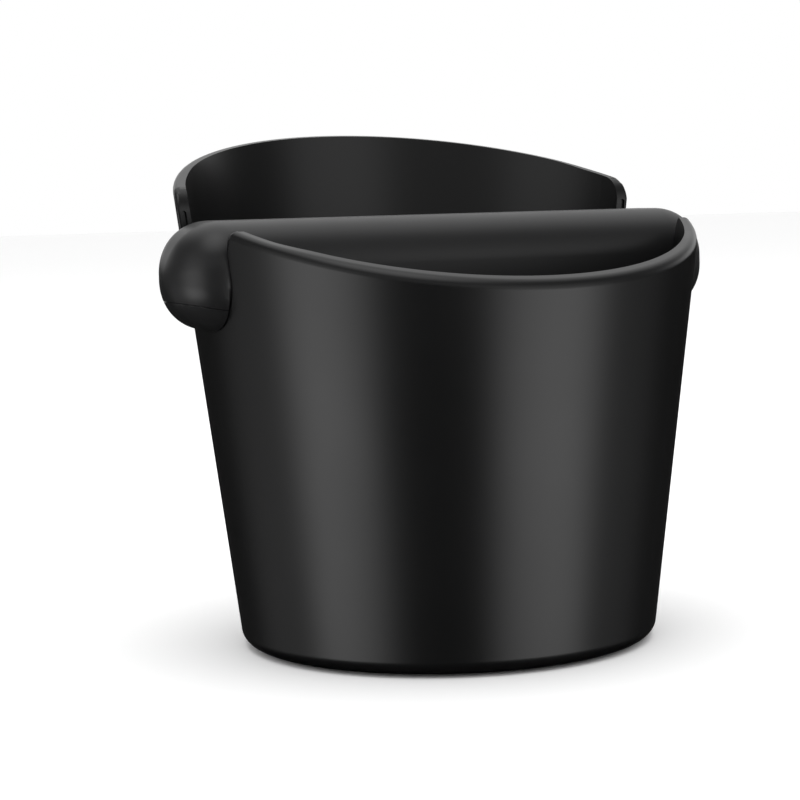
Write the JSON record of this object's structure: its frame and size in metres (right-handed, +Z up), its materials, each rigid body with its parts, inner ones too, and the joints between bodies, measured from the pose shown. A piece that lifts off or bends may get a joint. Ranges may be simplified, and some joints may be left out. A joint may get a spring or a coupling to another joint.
{
  "type": "espresso knock box",
  "caption": "Tapered plastic tub with a slanting rim and a lift-out rubber-covered knock bar with rounded ends, for knocking out used coffee pucks.",
  "frame": {"origin": "on the tub's own axis, at the underside of the base pad, which is the surface that the box stands on", "axes": "+X along the knock bar, +Y towards the high back of the rim, +Z up"},
  "size_m": [0.1402, 0.1262, 0.1244],
  "materials": {
    "tub_shell": "satin black moulded ABS",
    "grip_rubber": "matte black",
    "bar_rubber": "soft satin black",
    "carrier_nylon": "satin black",
    "core_steel": "drawn tube"
  },
  "bodies": {
    "tub": {"tub": "tub_shell", "base_pad": "grip_rubber"},
    "knock_bar": {"bar_cushion": "bar_rubber", "core_tube": "core_steel", "right_end_carrier": "carrier_nylon", "left_end_carrier": "carrier_nylon"}
  },
  "joints": [
    {"name": "bar_lift", "type": "slide", "parent": "tub", "child": "knock_bar", "axis": [0, 0, 1], "range_m": [0, 0.06]}
  ]
}
